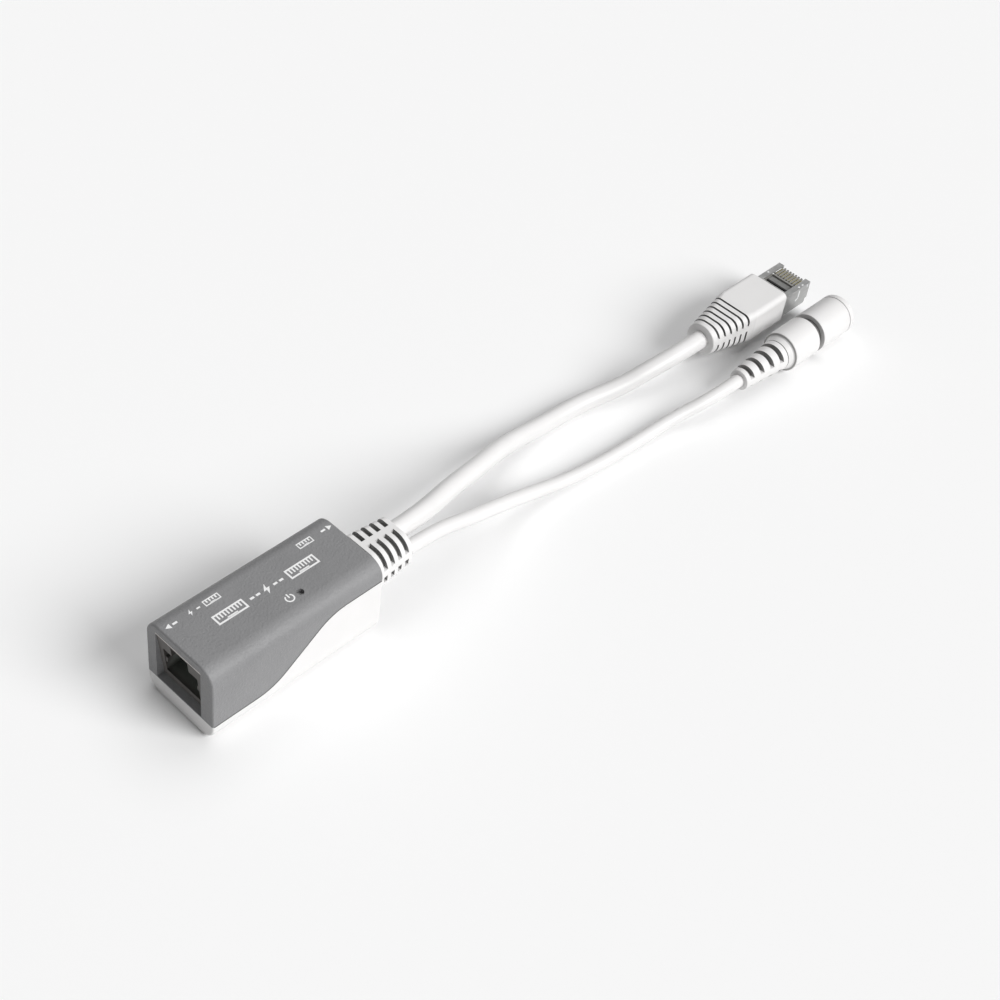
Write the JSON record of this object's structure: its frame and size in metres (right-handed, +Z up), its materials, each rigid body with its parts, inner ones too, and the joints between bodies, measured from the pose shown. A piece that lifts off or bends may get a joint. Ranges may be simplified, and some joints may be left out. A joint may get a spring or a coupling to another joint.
{
  "type": "power over ethernet injector lead",
  "caption": "Small box with a modular socket in one end, a data lead to a booted shielded modular plug, and a thinner lead to a female barrel power jack.",
  "frame": {"origin": "under the middle of the box and its strain relief together, at the base's face (the leads and what is on them don't count)", "axes": "+X across the box, +Y along it from the modular socket towards the leads, +Z up from the base"},
  "size_m": [0.034, 0.2351, 0.023],
  "materials": {
    "grey_shell": "fine matte texture",
    "white_shell": "smooth satin",
    "white_soft": "soft moulded",
    "core_plastic": "inner moulding, seen in the slots' shade",
    "lead_jacket": "smooth satin",
    "wire_jacket": "smooth",
    "socket_plastic": "dark matte",
    "contact_gold": "gold flash",
    "board": "solder mask",
    "black_moulding": "moulded",
    "tinned_metal": "tinned",
    "can_metal": "bright",
    "lamp_lens": "lens",
    "clear_plastic": "clear moulding",
    "plug_metal": "nickel plated sheet",
    "plug_bar": "moulded",
    "ring_plastic": "smooth satin"
  },
  "bodies": {
    "lead": {"top_cover": "grey_shell", "bottom_cover": "white_shell", "jack_housing": "socket_plastic", "jack_contacts": "contact_gold", "circuit_board": "board", "magnetics_module": "black_moulding", "magnetics_pins": "tinned_metal", "filter_capacitor": "can_metal", "filter_choke": "black_moulding", "rectifier_diode": "black_moulding", "resettable_fuse": "black_moulding", "lamp_resistor": "black_moulding", "status_lamp": "lamp_lens", "light_pipe": "clear_plastic", "relief_core": "core_plastic", "relief_sleeve": "white_soft", "data_cable": "lead_jacket", "power_cable": "lead_jacket", "data_wires": "wire_jacket", "power_wires": "wire_jacket", "plug_shield": "plug_metal", "plug_body": "clear_plastic", "plug_contacts": "contact_gold", "plug_strain_bar": "plug_bar", "plug_boot": "white_soft", "boot_core": "core_plastic", "barrel_front_shell": "white_shell", "barrel_ring": "ring_plastic", "barrel_rear_shell": "white_shell", "barrel_insulator": "black_moulding", "barrel_sleeve": "tinned_metal", "barrel_pin": "tinned_metal", "barrel_tail": "white_soft", "barrel_tail_core": "core_plastic"},
    "latch": {"plug_latch": "clear_plastic"}
  },
  "joints": [
    {"name": "latch_bend", "type": "hinge", "parent": "lead", "child": "latch", "pos_m": [-0.00303, 0.20145, 0.00315], "axis": [-1, 0, 0], "range_deg": [0, 10], "stiffness_Nm_per_rad": 0.02}
  ]
}
